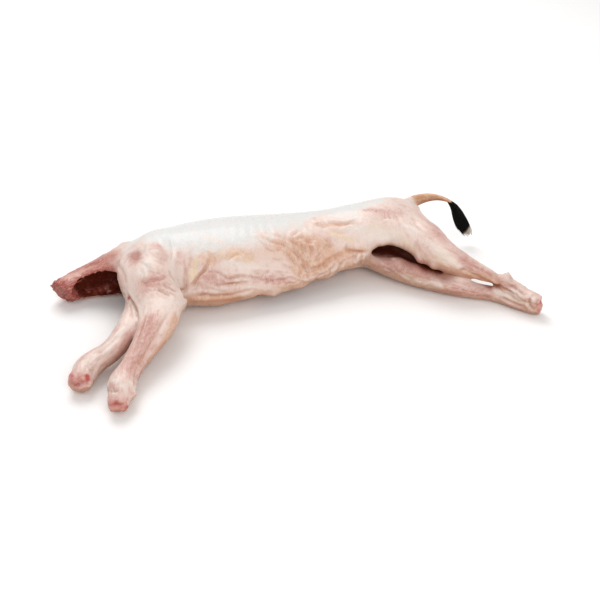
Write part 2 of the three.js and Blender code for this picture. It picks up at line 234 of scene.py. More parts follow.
# Colour patches of each mark: places along one, its reach, and how strong it is.
PATCHES = {
    # Painted orange-brown shade: on the ribs, in the flank's creases, under the brisket and the forearm,
    # and round the groin.
    "warm_shade": [
      ([(206, 255), (226, 254), (246, 257)], 13, 0.95), ([(210, 262), (196, 282)], 8, 0.6),
      ([(262, 238), (288, 250)], 9, 0.55), ([(262, 248), (300, 262), (320, 246)], 26, 0.45),
      ([(292, 244), (304, 264)], 19, 0.7), ([(304, 240), (331, 250)], 15, 0.6),
      ([(300, 271), (325, 265)], 10, 0.95), ([(346, 252), (320, 263)], 9, 0.9),
      ([(316, 224), (334, 225), (357, 222)], 7, 0.75), ([(350, 250), (380, 247), (402, 255)], 8, 0.85),
      ([(192, 299), (238, 298)], 9, 1.0), ([(255, 291), (300, 285)], 8, 0.6),
      ([(404, 257), (440, 271), (458, 274)], 6, 0.6), ([(468, 274), (500, 287)], 8, 1.0),
      ([(176, 318), (150, 362)], 10, 0.95), ([(340, 262), (352, 262)], 12, 0.6)],
    "pink": [
      ([(134.5, 258)], 13, 1.0), ([(156, 277), (150, 284)], 16, 0.85), ([(165, 263)], 11, 0.4),
      ([(118, 262), (121, 282)], 13, 0.45), ([(152, 318), (130, 368)], 16, 0.8),
      ([(133, 332), (110, 366)], 13, 0.6), ([(116, 402)], 15, 0.6), ([(77, 380)], 13, 0.65),
      ([(133, 394)], 7, 0.7), ([(203, 278), (228, 281)], 13, 0.6), ([(255, 278), (287, 281)], 9, 0.7),
      ([(362, 209.5), (381, 211)], 7, 0.75), ([(392, 212), (407, 227)], 18, 0.15),
      ([(420, 216), (442, 238)], 14, 0.5), ([(466, 262), (498, 282)], 12, 0.85),
      ([(383, 262), (424, 273)], 17, 0.75), ([(430, 287), (488, 292)], 12, 0.7), ([(514, 286)], 6, 0.8),
      ([(140, 284), (150, 299)], 12, 0.4), ([(160, 245), (165, 258)], 10, 0.4),
      ([(182, 238), (180, 262)], 7, 0.4), ([(145, 244), (158, 243)], 9, 0.35),
      ([(372, 214), (398, 213)], 12, 0.5)],
    # Pale membrane; some patches are painted highlights: the shoulder's ridge, the near kneecap, the belly
    # flap's edge, the far knee and the hock.
    "pale": [
      ([(147, 262), (143, 273)], 8, 0.9), ([(150, 231), (163, 238), (168, 250)], 9, 0.8),
      ([(172, 236), (172, 250), (171, 262)], 5, 0.9), ([(404, 226), (424, 240)], 12, 0.6),
      ([(170, 262), (178, 284)], 9, 0.65), ([(147, 300), (173, 310)], 12, 0.5), ([(181, 303)], 9, 0.7),
      ([(112, 378), (121, 388)], 13, 0.6), ([(97, 356), (84, 368)], 12, 0.55),
      ([(128, 325), (106, 350)], 9, 0.8), ([(226, 264), (256, 267)], 8, 0.95),
      ([(250, 286), (287, 290)], 4, 0.9), ([(352, 230), (394, 240)], 16, 0.75),
      ([(434, 245), (450, 260)], 12, 0.75), ([(459, 267)], 5, 1.0), ([(513, 291), (517, 296)], 8, 1.0),
      ([(506, 277)], 5, 0.7), ([(408, 200), (418, 204), (427, 210)], 3.5, 0.9),
      ([(406, 277), (420, 282), (438, 287)], 9, 1.0), ([(359, 255), (357, 263)], 3.5, 0.9),
      ([(332, 269), (330, 276)], 3.5, 0.8), ([(130, 382), (134, 388)], 4, 0.7),
      ([(118, 288), (122, 300)], 8, 0.5), ([(497, 291), (508, 296), (522, 303)], 5, 0.9),
      ([(520, 288), (530, 294)], 4, 0.8), ([(81, 388), (85, 386)], 5, 1.0),
      ([(535, 298), (531, 302), (532, 308), (536, 311)], 4.5, 1.0)],
    # Purplish-pink muscle, partly painted shade: in the shoulder's hollow and under the near thigh's edge.
    "mauve_and_shade": [
      ([(146, 290), (166, 297)], 7, 0.25), ([(150, 330), (140, 348)], 10, 0.4),
      ([(134, 254), (135, 261)], 12, 1.0), ([(497, 285), (511, 288), (526, 294)], 5, 0.7),
      ([(516, 304), (528, 308)], 6, 0.5), ([(388, 262), (412, 268), (430, 275)], 9, 0.5),
      ([(160, 272), (152, 284)], 14, 0.5), ([(165, 262), (160, 256)], 8, 0.3),
      ([(205, 277), (218, 278)], 9, 0.5), ([(428, 218), (440, 234)], 11, 0.5),
      ([(124, 300), (131, 318)], 5, 0.5), ([(111, 384), (119, 392)], 5, 0.5), ([(466, 260)], 7, 0.45),
      ([(128, 366), (136, 356)], 9, 0.45), ([(117, 357), (128, 348)], 6, 0.6)],
    "fat": [
      ([(196, 261), (192, 278)], 8, 0.8), ([(440, 250), (453, 262)], 11, 0.7),
      ([(372, 230), (402, 240)], 17, 0.6), ([(332, 232), (352, 240)], 11, 0.6),
      ([(212, 248), (250, 262)], 15, 0.5), ([(412, 248), (440, 262)], 11, 0.4), ([(90, 385)], 6, 0.75),
      ([(122, 402)], 4, 0.5)],
    # Whitish membrane, and painted highlights among the patches: the sheen on the shoulder, the far knee
    # and the hock.
    "white_and_highlight": [
      ([(356, 229), (392, 237)], 15, 0.3), ([(410, 280), (436, 285)], 9, 0.3),
      ([(513, 291), (518, 296)], 6, 0.5), ([(150, 232), (163, 237)], 7, 0.4),
      ([(146, 264), (144, 272)], 5, 0.4), ([(166, 303), (176, 300)], 6, 0.35)],
    "shadow": [
      ([(374, 254), (390, 256), (410, 263), (436, 272)], 10, 0.6), ([(482, 284), (498, 286)], 5, 0.8)],
    # Painted shade along the groin's slot.
    "dark": [([(373, 251), (388, 251), (402, 257), (422, 266), (440, 272)], 6.5, 0.9)],
    "red": [
      ([(72, 270), (90, 262), (112, 256)], 20, 0.62),
      ([(73, 287), (84, 277), (101, 270), (112, 271), (117, 280)], 9, 0.85),
      ([(70, 272), (84, 266), (96, 262)], 12, 0.5), ([(104, 262)], 6, 0.5)],
    "gore": [
      ([(128.5, 298)], 3.5, 1.0), ([(116, 403)], 3.6, 0.8), ([(108, 401), (124, 405)], 8, 0.36),
      ([(127, 407), (125, 411)], 3.0, 0.6), ([(68, 375), (72, 376)], 3.4, 0.7),
      ([(70, 380), (88, 378)], 8, 0.36), ([(87, 375.5), (88, 380)], 3.2, 0.75),
      ([(75, 386), (79, 385)], 2.2, 0.5), ([(515, 287)], 3.5, 0.4), ([(541, 302)], 3.6, 0.7),
      ([(538, 300), (541, 309)], 8, 0.36), ([(538, 310)], 2.6, 0.4), ([(104, 369)], 5.0, 0.35)],
    "cut": [
      ([(110, 404), (122, 407)], 10, 0.85), ([(70, 376), (78, 384), (86, 380)], 9, 0.9),
      ([(541, 301), (540, 309)], 9, 0.85)],
}

# Slack skin: a path over the region, its reach, the way its folds run, their gap and height.
DRAPES = {
    "front_of_the_flank": ([(262, 240), (284, 256)], 17, (27, -26, -16), 9.0, 1.3),
    "middle_of_the_flank": ([(290, 244), (302, 266)], 20, (30, -52, -44), 10.5, 1.8),
    "back_of_the_flank": ([(312, 236), (326, 258)], 19, (45, -38, -26), 10.5, 1.7),
    "low_flank": ([(256, 276), (300, 277), (322, 272)], 12, (1, 0.1, -0.2), 8.0, 1.8),
    "loin": ([(318, 222), (356, 224)], 12, (54, -19, 4), 8.0, 1.2),
    "web_of_the_groin": ([(336, 262), (362, 260)], 13, (-3, 2, -15), 7.0, 2.0),
    "ribs": ([(208, 258), (244, 258)], 15, (-1, -0.6, -0.6), 10.0, 1.2),
    "brisket": ([(200, 288), (244, 284)], 15, (1, 0, 0.12), 9.0, 1.2),
    "shoulder": ([(-226, 34, 90), (-216, 74, 103)], 30, (0.3, -1, -0.3), 12.0, 1.4),
    "elbow": ([(160, 288), (176, 297)], 14, (1, -0.6, -0.5), 7.0, 2.1),
    "breast": ([(124, 290), (128, 304)], 12, (0.5, -1, -0.3), 7.0, 1.2),
    "rump": ([(150, 104, 105), (214, 60, 98)], 36, (1, -0.8, -0.3), 16.0, 0.9),
    "stifle": ([(225, 10, 80), (250, -10, 68)], 17, (1, -0.9, -0.4), 9.0, 0.9),
    "thigh_below": ([(160, 44, 42), (215, 0, 24)], 22, (1, -0.9, -0.3), 10.0, 1.2),
    "near_forearm": ([(-226, -50, 60), (-262, -120, 40)], 17, (-36, -75, -20), 8.0, 1.4),
    "far_forearm": ([(-272, -48, 46), (-318, -92, 37)], 15, (-44, -44, -10), 8.0, 1.1),
    "near_wrist": ([(112, 380), (118, 404)], 12, (-3, -13, -2), 6.5, 1.6),
    "far_wrist": ([(90, 366), (80, 384)], 12, (-5, -14, -2), 6.5, 1.6),
    "near_shank": ([(268, -14, 64), (318, -46, 42)], 12, (50, -30, -22), 7.0, 1.0),
    "far_shank": ([(248, -20, 22), (312, -48, 16)], 12, (64, -28, -6), 7.0, 1.0),
    "hocks": ([(502, 284), (534, 303)], 14, (22, -32, -8), 7.0, 2.1),
}

# The flap of the belly: how it hangs, where it is, and where along it the edge dips or rises.
FLAP_WAY = (0.0, -0.56, -0.83)
FLAP_SPAN = (-72.0, 124.0)
FLAP_STEP = 7.0
FLAP_LOBES = [(0.02, -3.0), (0.09, -6.0), (0.20, 5.0), (0.30, 1.6), (0.42, 3.6), (0.53, -2.6),
              (0.62, 2.8), (0.72, -2.4), (0.84, 2.4), (0.95, -1.0)]
LOBE_SPREAD = 0.045
UNDER_FLAP = 6.5
FLAP_DROP = 1.6
FLAP_REACH = 6.0
RIM_REACH = 4.5
GAP_REACH = 4.0
GAP_DEPTH = 4.0

# The ridge of the back with a knob for every bone of the spine, and the ribs.
SPINE = [(-236, 160, 52), (-206, 180, 54), (-151, 190, 56), (-91, 193, 57), (-31, 191, 56), (29, 188, 55),
         (79, 185, 55), (124, 183, 58), (169, 182, 62), (199, 177, 66)]
SPINE_BONES = 24
KNOB_REACH = 6.5
KNOB_HEIGHT = 0.6
RIBS = [(-168, 64, 98), (-30, 70, 98)]
RIB_COUNT = 10
RIB_COURSE = [(-6, -26, -14), (0, 0, 0), (5, 38, 4), (7, 70, 2), (8, 100, -14)]
RIB_WIDTH = 4.5
RIB_DEPTH = 0.35
RIB_BANK = 0.15

# The neck's cut face: a place on it, the way it looks, and how wide it is.
NECK_FACE = ((-353, 99, 20), (-0.674, -0.698, -0.242), 30.0)
LEDGE_REACH = 14.0
LEDGE_WIDTH = 6.0
LEDGE_HEIGHT = 3.0
THROAT_LEDGE = [(88, 291), (98, 289), (108, 286), (115, 283)]

# Where the back's whitish membrane, with a painted highlight on it, ends on the near side.
WHITE_EDGE = [(142, 243), (161, 249), (181, 252), (203, 252), (224, 251), (241, 252), (254, 248),
              (263, 237), (283, 236), (292, 231), (302, 227), (315, 221), (328, 218), (354, 216),
              (366, 210), (390, 203)]


def curve_through(points, step):
    """Places along a smooth line through some points, about one every step."""
    points = np.asarray(points, float)
    if len(points) == 1:
        return points
    ends = np.vstack([2 * points[0] - points[1], points, 2 * points[-1] - points[-2]])
    out = []
    for i in range(len(points) - 1):
        a, b, c, d = ends[i:i + 4]
        count = max(1, int(round(np.linalg.norm(c - b) / step)))
        for k in range(count):
            t = k / count
            out.append(0.5 * (2 * b + (c - a) * t + (2 * a - 5 * b + 4 * c - d) * t ** 2
                              + (3 * b - a - 3 * c + d) * t ** 3))
    out.append(points[-1])
    return np.array(out)


def ease(value, low, high):
    """0 below low, 1 above high, and a smooth rise between."""
    t = np.clip((value - low) / (high - low), 0.0, 1.0)
    return t * t * (3.0 - 2.0 * t)


def bell(value):
    """1 at nought, falling smoothly to 0 on both sides."""
    return np.exp(-value ** 2)


def unit(way):
    """A direction at length 1."""
    way = np.asarray(way, float)
    return way / np.linalg.norm(way)


def chance(spots, seed):
    """Smooth noise, about -0.6 to 0.6, at some places a unit apart."""
    shift = Vector((17.3, 5.1, 9.7)) * seed
    return np.array([noise.noise(Vector(spot) + shift) for spot in spots])


def camera_axes():
    """The camera's right, up and back directions."""
    turn = math.radians(CAMERA_TURN)
    rise = math.radians(CAMERA_RISE)
    back = Vector((math.sin(turn) * math.cos(rise), -math.cos(turn) * math.cos(rise), math.sin(rise)))
    right = Vector((math.cos(turn), math.sin(turn), 0.0))
    return right, back.cross(right), back


class Skin:
    """A close-meshed skin held as arrays of millimetres, with the tools that work it."""

    def __init__(self, mesh):
        self.mesh = mesh
        self.count = len(mesh.vertices)
        flat = np.empty(self.count * 3)
        mesh.vertices.foreach_get("co", flat)
        self.place = flat.reshape(-1, 3) / MM
        ends = np.empty(len(mesh.edges) * 2, dtype=np.int32)
        mesh.edges.foreach_get("vertices", ends)
        self.ends = ends.reshape(-1, 2)
        self.share = 1.0 / np.maximum(np.bincount(ends, minlength=self.count), 1)
        self.marks = {}
        self.rise = np.zeros(self.count)
        self.look()

    def look(self):
        """Puts the places into the mesh and reads which way each point faces."""
        self.mesh.vertices.foreach_set("co", (self.place * MM).ravel())
        self.mesh.update()
        flat = np.empty(self.count * 3)
        self.mesh.vertices.foreach_get("normal", flat)
        self.face = flat.reshape(-1, 3)
        self.tree = KDTree(self.count)
        for i, p in enumerate(self.place):
            self.tree.insert(p, i)
        self.tree.balance()
        bare = bmesh.new()
        bare.from_mesh(self.mesh)
        self.walls = BVHTree.FromBMesh(bare)
        bare.free()

    def cast(self, across, down):
        """The place on the skin that the photograph shows at a pixel."""
        right, up, back = camera_axes()
        eye = Vector(CAMERA_AIM) + back * CAMERA_DISTANCE
        spread = CAMERA_SENSOR / CAMERA_LENS / PHOTO_SIDE
        half = PHOTO_SIDE / 2.0
        way = ((across - half) * spread * right + (half - down) * spread * up - back).normalized()
        hit = self.walls.ray_cast(eye, way)[0]
        if hit is not None:
            return np.array(hit) / MM
        gap = self.place - np.array(eye) / MM
        beside = gap - (gap @ np.array(way))[:, None] * np.array(way)
        return self.place[np.argmin(np.linalg.norm(beside, axis=1))]

    def places(self, path):
        """The places of a path, some of which may be pixels of the photograph."""
        return [self.cast(*place) if len(place) == 2 else np.array(place, float) for place in path]

    def around(self, field):
        """The mean of each point's neighbours."""
        a, b = self.ends[:, 0], self.ends[:, 1]
        total = np.empty_like(field)
        for k in range(field.shape[1]):
            total[:, k] = np.bincount(a, field[b, k], self.count)
            total[:, k] += np.bincount(b, field[a, k], self.count)
        return total * self.share[:, None]

    def relax(self, turns, where=None):
        """Smooths the skin, more where the weight is more."""
        for _ in range(turns):
            step = 0.5 * (self.around(self.place) - self.place)
            if where is not None:
                step *= where[:, None]
            self.place += step

    def line(self, path):
        """The line of a path laid on the skin, and the facing along it."""
        knots = curve_through(self.places(path), LAY_STEP)
        faces = np.empty_like(knots)
        for i, p in enumerate(knots):
            spot, index, _ = self.tree.find(p)
            face = self.face[index]
            knots[i] = p - face * np.dot(p - np.array(spot), face)
            faces[i] = face
        return knots, faces

    def follow(self, path, reach):
        """The points within reach of a path: which, how far off, how far along, which side."""
        knots, faces = self.line(path)
        low = knots.min(axis=0) - reach
        high = knots.max(axis=0) + reach
        near = np.flatnonzero(((self.place > low) & (self.place < high)).all(axis=1))
        spots = self.place[near]
        off = np.full(len(near), np.inf)
        along = np.zeros(len(near))
        side = np.zeros(len(near))
        front = np.zeros(len(near))
        if len(knots) == 1:
            off = np.linalg.norm(spots - knots[0], axis=1)
            front = self.face[near] @ faces[0]
            along += 0.5
        for i in range(len(knots) - 1):
            run = knots[i + 1] - knots[i]
            long = np.linalg.norm(run) + 1e-9
            gap = spots - knots[i]
            t = np.clip(gap @ run / long ** 2, 0.0, 1.0)
            gap = gap - t[:, None] * run
            far = np.linalg.norm(gap, axis=1)
            closer = far < off
            off[closer] = far[closer]
            along[closer] = (i + t[closer]) / (len(knots) - 1)
            side[closer] = (gap @ np.cross(faces[i], run / long))[closer]
            front[closer] = (self.face[near] @ faces[i])[closer]
        keep = (off < reach) & (front > -0.1)
        return near[keep], off[keep], along[keep], side[keep]

    def mark(self, name, amount, where=slice(None)):
        """Strengthens a named mark, at some points or at all."""
        field = self.marks.setdefault(name, np.zeros(self.count))
        field[where] = 1.0 - (1.0 - field[where]) * (1.0 - np.clip(amount, 0.0, 1.0))

    def fold(self, path, width, depth, left, right, crease_shade=0.75):
        """A crease along a path, with the skin standing up beside it and painted shade in the crease."""
        near, off, along, side = self.follow(path, width * 4.5)
        fade = ease(along, -0.06, 0.25) * ease(1.0 - along, -0.06, 0.25)
        cut = bell(off / width)
        bank = bell((off - BANK_OFF * width) / (BANK_WIDE * width))
        self.rise[near] += fade * (np.where(side > 0.0, left, right) * bank - depth * cut)
        self.mark("fold", fade * cut * crease_shade * min(1.0, depth / 2.2), near)

    def drape(self, path, reach, way, gap, height, seed):
        """Slack folds that run one way over a region: sharp valleys between rounded backs, with painted
        shade in the valleys and a painted highlight on the backs.
        """
        near, off, _, _ = self.follow(path, reach * 2.0)
        weight = bell(off / reach)
        way = unit(way)
        spots = self.place[near]
        run = spots @ way
        across = spots - run[:, None] * way
        swirl = np.stack([chance(spots / (gap * 3.0), seed + k) for k in range(3)], axis=1)
        swing = chance(across / gap + (run / (gap * 4.5))[:, None] * way + swirl, seed + 3)
        valley = bell(swing / VALLEY_WIDE)
        self.rise[near] += weight * height * (np.abs(swing) * 1.8 - 0.35 - 0.35 * valley)
        self.mark("fold", weight * 0.26 * height * bell(swing / SHADE_WIDE), near)
        # Paler backs of the slack folds: a painted highlight.
        self.mark("ridge", weight * ease(np.abs(swing), 0.22, 0.5), near)

    def swell(self, middle, reach, height):
        """A rounded rise or hollow."""
        near, off, _, _ = self.follow([middle], reach * 2.5)
        self.rise[near] += height * bell(off / reach)

    def patch(self, name, path, reach, amount):
        """A soft-edged patch of a mark."""
        near, off, _, _ = self.follow(path, reach * 2.4)
        self.mark(name, amount * bell(off / reach), near)

    def press(self):
        """Moves the skin by what the tools asked for."""
        self.place += self.face * self.rise[:, None]
        self.rise[:] = 0.0
        self.look()

    def closest(self, path, step=6.0):
        """For every point, how far off a middle line is, the way to it, and how far along."""
        knots = curve_through(path, step)
        off = np.full(self.count, np.inf)
        way = np.zeros((self.count, 3))
        along = np.zeros(self.count)
        for i in range(len(knots) - 1):
            run = knots[i + 1] - knots[i]
            gap = self.place - knots[i]
            t = np.clip(gap @ run / (run @ run), 0.0, 1.0)
            gap = t[:, None] * run - gap
            far = np.linalg.norm(gap, axis=1)
            closer = far < off
            off[closer] = far[closer]
            way[closer] = gap[closer]
            along[closer] = ((i + t) * step)[closer]
        return off, way, along

    def inside(self, path, near, far):
        """How much each point is the wall of a hollow round a path, 0 to 1."""
        off, way, _ = self.closest(path)
        inward = np.einsum("ij,ij->i", self.face, way) / np.maximum(off, 1e-6)
        return ease(inward, 0.05, 0.6) * (1.0 - ease(off, near, far))

    def store(self):
        """Writes the marks into the mesh, where the materials read them."""
        for name, field in self.marks.items():
            kind = "FLOAT" if field.ndim == 1 else "FLOAT_VECTOR"
            made = self.mesh.attributes.new(name, kind, "POINT")
            made.data.foreach_set("value" if field.ndim == 1 else "vector", field.ravel())


def add_object(data, name):
    """A new object of the scene, at the origin."""
    made = bpy.data.objects.new(name, data)
    bpy.context.scene.collection.objects.link(made)
    return made


def baked(holder, name):
    """The mesh of an object with its modifiers. The object goes."""
    bpy.context.view_layer.update()
    shown = holder.evaluated_get(bpy.context.evaluated_depsgraph_get())
    mesh = bpy.data.meshes.new_from_object(shown)
    mesh.name = name
    mesh.materials.clear()
    bpy.data.objects.remove(holder)
    return mesh


def fine_skin(node, name, pitch):
    """A close, even mesh over a node of the frame."""
    source = bpy.data.meshes.new(name + "_source")
    form = bmesh.new()
    form.from_mesh(node.data)
    bmesh.ops.remove_doubles(form, verts=form.verts, dist=MERGE_GAP)
    form.to_mesh(source)
    form.free()
    holder = add_object(source, name + "_source")
    remesh = holder.modifiers.new("even_mesh", "REMESH")
    remesh.mode = "VOXEL"
    remesh.voxel_size = pitch
    mesh = baked(holder, name)
    bpy.data.meshes.remove(source)
    return mesh


def round_off(skin):
    """Works the solid's facets and seams out of the skin, and gives the parts' shares."""
    legs = np.zeros(skin.count)
    for path in (NEAR_FORELEG, FAR_FORELEG, NEAR_HIND_LEG, FAR_HIND_LEG):
        off, _, _ = skin.closest(path[3:])
        legs = np.maximum(legs, 1.0 - ease(off, *LEG_REACH))
    tail = 1.0 - ease(skin.closest(TAIL_LINE[2:])[0], *TAIL_REACH)
    neck = 1.0 - ease(skin.closest(NECK_LINE[1:])[0], *NECK_REACH)
    trim = np.maximum(tail, 0.75 * neck)
    for end in FOOT_ENDS:
        off = np.linalg.norm(skin.place - np.array(end), axis=1)
        trim = np.maximum(trim, 0.85 - 0.85 * ease(off, *FOOT_REACH))
    skin.relax(TRIM_TURNS)
    skin.relax(LEG_TURNS, 1.0 - trim)
    skin.relax(BODY_TURNS, 1.0 - np.maximum(legs, trim))
    skin.look()
    return legs, tail, neck


def hang_flap(skin):
    """The belly's slack edge: lobes along it, a painted highlight on it, and the gap that it hangs over,
    with painted shade in it.
    """
    way = unit(FLAP_WAY)
    low = skin.place @ way
    edge = []
    for x in np.arange(*FLAP_SPAN, FLAP_STEP):
        slab = np.flatnonzero((np.abs(skin.place[:, 0] - x) < 3.0) & (skin.place[:, 1] < 100.0))
        edge.append(skin.place[slab[np.argmax(low[slab])]])
    near, off, along, _ = skin.follow(edge, 16.0)
    lobes = sum(height * bell((along - at) / LOBE_SPREAD) for at, height in FLAP_LOBES)
    fade = ease(along, 0.0, 0.05) * ease(1.0 - along, 0.0, 0.1)
    shift = fade * (lobes + FLAP_DROP) * bell(off / FLAP_REACH)
    skin.place[near] += shift[:, None] * way
    # A painted highlight along the flap's edge.
    skin.mark("rim_highlight", fade * 0.8 * bell(off / RIM_REACH), near)
    skin.look()
    under = [place + np.array((0.0, 5.0, -UNDER_FLAP)) for place in edge]
    near, off, along, _ = skin.follow(under, 12.0)
    fade = ease(along, 0.0, 0.1) * ease(1.0 - along, 0.0, 0.1)
    skin.rise[near] -= GAP_DEPTH * fade * bell(off / GAP_REACH)
    # Painted shade in the gap under the flap.
    skin.mark("dark", 0.5 * fade * bell(off / RIM_REACH), near)


def work_skin(skin):
    """Swells the muscles, lays the folds and slackens the thin skin."""
    for forms in FORMS.values():
        for form in forms:
            skin.swell(*form)
    back = curve_through(SPINE, 1.0)
    for i in range(SPINE_BONES):
        skin.swell(back[int((i + 0.5) / SPINE_BONES * len(back))], KNOB_REACH, KNOB_HEIGHT)
    rib_row = curve_through(RIBS, 1.0)
    for i in range(RIB_COUNT):
        course = rib_row[int(i / (RIB_COUNT - 1) * (len(rib_row) - 1))] + np.array(RIB_COURSE)
        skin.fold(course, RIB_WIDTH, RIB_DEPTH, RIB_BANK, RIB_BANK, crease_shade=0.0)
    skin.press()
    skin.relax(2)
    skin.look()
    for folds in FOLDS.values():
        for fold in folds:
            skin.fold(*fold)
    for number, (path, reach, way, gap, height) in enumerate(DRAPES.values()):
        skin.drape(path, reach, way, gap, height, 5 * number + 2)
    hang_flap(skin)
    skin.press()


# The grain's pace off the middle lines, and along them, and how far apart two parts' grain is.
GRAIN_PACE = (1.0, 0.45, 0.45)
ALONG_PACE = 0.22
PARTS_APART = 60.0


def draw_grain(skin):
    """Coordinates in which the meat's fibres run along the first axis, drawn out."""
    grain = skin.place * np.array(GRAIN_PACE)
    paths = ((NEAR_FORELEG, 40.0), (FAR_FORELEG, 32.0), (NEAR_HIND_LEG, 34.0), (FAR_HIND_LEG, 30.0),
             (NECK_LINE, 46.0), (TAIL_LINE, 12.0))
    for number, (path, reach) in enumerate(paths):
        off, way, along = skin.closest(path, 8.0)
        share = 1.0 - ease(off, reach * 0.7, reach * 1.3)
        own = way.copy()
        own[:, 0] += along * ALONG_PACE + PARTS_APART * (number + 1)
        grain += share[:, None] * (own - grain)
    skin.marks["grain"] = grain


def roughen(skin, amount):
    """Small unevenness all over, drawn out along the meat's own grain."""
    grain = skin.marks["grain"]
    broad = 0.5 - np.abs(chance(grain * 0.11, 3))
    fine = chance(grain * 0.25, 8)
    skin.rise += amount * (0.9 * broad + 0.5 * fine)
    skin.press()


def open_neck(skin, neck):
    """The neck's ragged hollow with painted shade in it, a ledge of meat in it, and the raw band at its
    cut.
    """
    middle, way, size = NECK_FACE
    way = unit(way)
    gap = skin.place - np.array(middle, float)
    deep = gap @ way
    off = np.linalg.norm(gap - deep[:, None] * way, axis=1)
    at_neck = 1.0 - ease(off, size + 6.0, size + 16.0)
    near = np.flatnonzero((neck > 0.01) | (at_neck * ease(deep, -90.0, -80.0) > 0.01))
    rag = np.zeros(skin.count)
    rag[near] = chance(skin.place[near] / 4.5, 6) + 0.7 * chance(skin.place[near] / 10.0, 5)
    face = ease(deep, -7.0, -3.5) * ease(skin.face @ way, 0.35, 0.8) * at_neck
    raw = ease(deep + 9.0 * rag, -24.0, -6.0) * at_neck
    hollow = skin.inside(THROAT_LINE, *THROAT_REACH)
    hollow = ease(hollow + 0.5 * rag * (hollow > 0.02), 0.3, 0.75) * (1.0 - 0.75 * raw)
    skin.rise += rag * (1.6 * raw + 1.2 * hollow + 0.8 * neck)
    ledge = np.zeros(skin.count)
    close, far, _, _ = skin.follow(THROAT_LEDGE, LEDGE_REACH)
    ledge[close] = bell(far / LEDGE_WIDTH)
    skin.rise += hollow * ledge * LEDGE_HEIGHT
    # Painted shade in the throat's hollow, less on the ledge.
    skin.mark("dark", hollow * (0.86 - 0.3 * ledge + 0.3 * rag))
    skin.mark("red", np.maximum(np.maximum(0.95 * face, raw), hollow))
    skin.mark("gore", raw * ease(rag, 0.05, 0.5) * 0.55)
    skin.press()


def colour_skin(skin, legs, tail, neck):
    """Marks where the skin is pink, pale, fat or red, and where shade, shadow and highlights are painted on
    it.
    """
    for name, patches in PATCHES.items():
        for patch in patches:
            skin.patch(name, *patch)
    x, y, _ = skin.place.T
    up = skin.face[:, 2]
    # The back's whitish cover: whitish membrane, with a painted highlight on the skin that faces up.
    edge = np.array(skin.places(WHITE_EDGE))
    wander = 30.0 * chance(skin.place / 26.0, 9) + 12.0 * chance(skin.place / 8.0, 12)
    over = ease(y - np.interp(x, edge[:, 0], edge[:, 1]) + wander, -26.0, 42.0)
    stray = x + 50.0 * chance(skin.place / 30.0, 21) + 24.0 * chance(skin.place / 10.0, 22)
    over *= ease(stray, edge[0, 0] - 44.0, edge[0, 0] + 20.0)
    over *= 1.0 - ease(stray, edge[-1, 0] - 50.0, edge[-1, 0] + 30.0)
    behind = skin.face[:, 1] - 0.5 * up + 0.8 * chance(skin.place * np.array((0.02, 0.06, 0.06)), 23)
    lit_top = ease(up + 0.5 * skin.face[:, 1], -0.1, 0.35)
    skin.mark("white_and_highlight", over * lit_top * (1.0 - 0.8 * ease(behind, 0.0, 1.1)))
    skin.mark("tan", tail)
    skin.mark("pink", np.maximum(0.3 * legs, 0.6 * neck))
    skin.mark("red", 0.3 * neck * (1.0 - ease(x, -290.0, -240.0)))
    # Painted shade on the skin that faces down.
    skin.mark("under", ease(-up, -0.5, 0.45))
    off, way, _ = skin.closest(GROIN_LINE)
    below = np.where(way[:, 2] > 0.0, 0.85, 0.35 * ease(0.85 - up, 0.0, 0.5))
    skin.mark("shadow", below * (1.0 - ease(off, 10.0, 30.0)))
    # Painted shade deep in the groin's slot and in the belly's slit.
    beyond = ease(-way[:, 1] + 8.0 * chance(skin.place / 9.0, 31), -22.0, 8.0)
    deep = np.maximum(ease(-up, 0.1, 0.5), 0.8 * beyond) * (1.0 - 0.45 * ease(x, 165.0, 235.0))
    skin.mark("dark", 0.97 * deep * skin.inside(GROIN_LINE, *GROIN_REACH))
    skin.mark("dark", 0.6 * skin.inside(BELLY_LINE, *BELLY_REACH) * (1.0 - ease(x, 90.0, 130.0)))


class Wire:
    """A socket of a material. A sum on it adds its Math nodes."""

    def __init__(self, finish, socket):
        self.finish = finish
        self.socket = socket

    def _sum(self, operation, *parts):
        return self.finish.node("ShaderNodeMath", {"operation": operation},
                                {i: part for i, part in enumerate(parts)})

    def __add__(self, other):
        return self._sum("ADD", self, other)

    def __mul__(self, other):
        return self._sum("MULTIPLY", self, other)

    def __sub__(self, other):
        return self._sum("SUBTRACT", self, other)

    def __rsub__(self, other):
        return self._sum("SUBTRACT", other, self)

    __radd__ = __add__


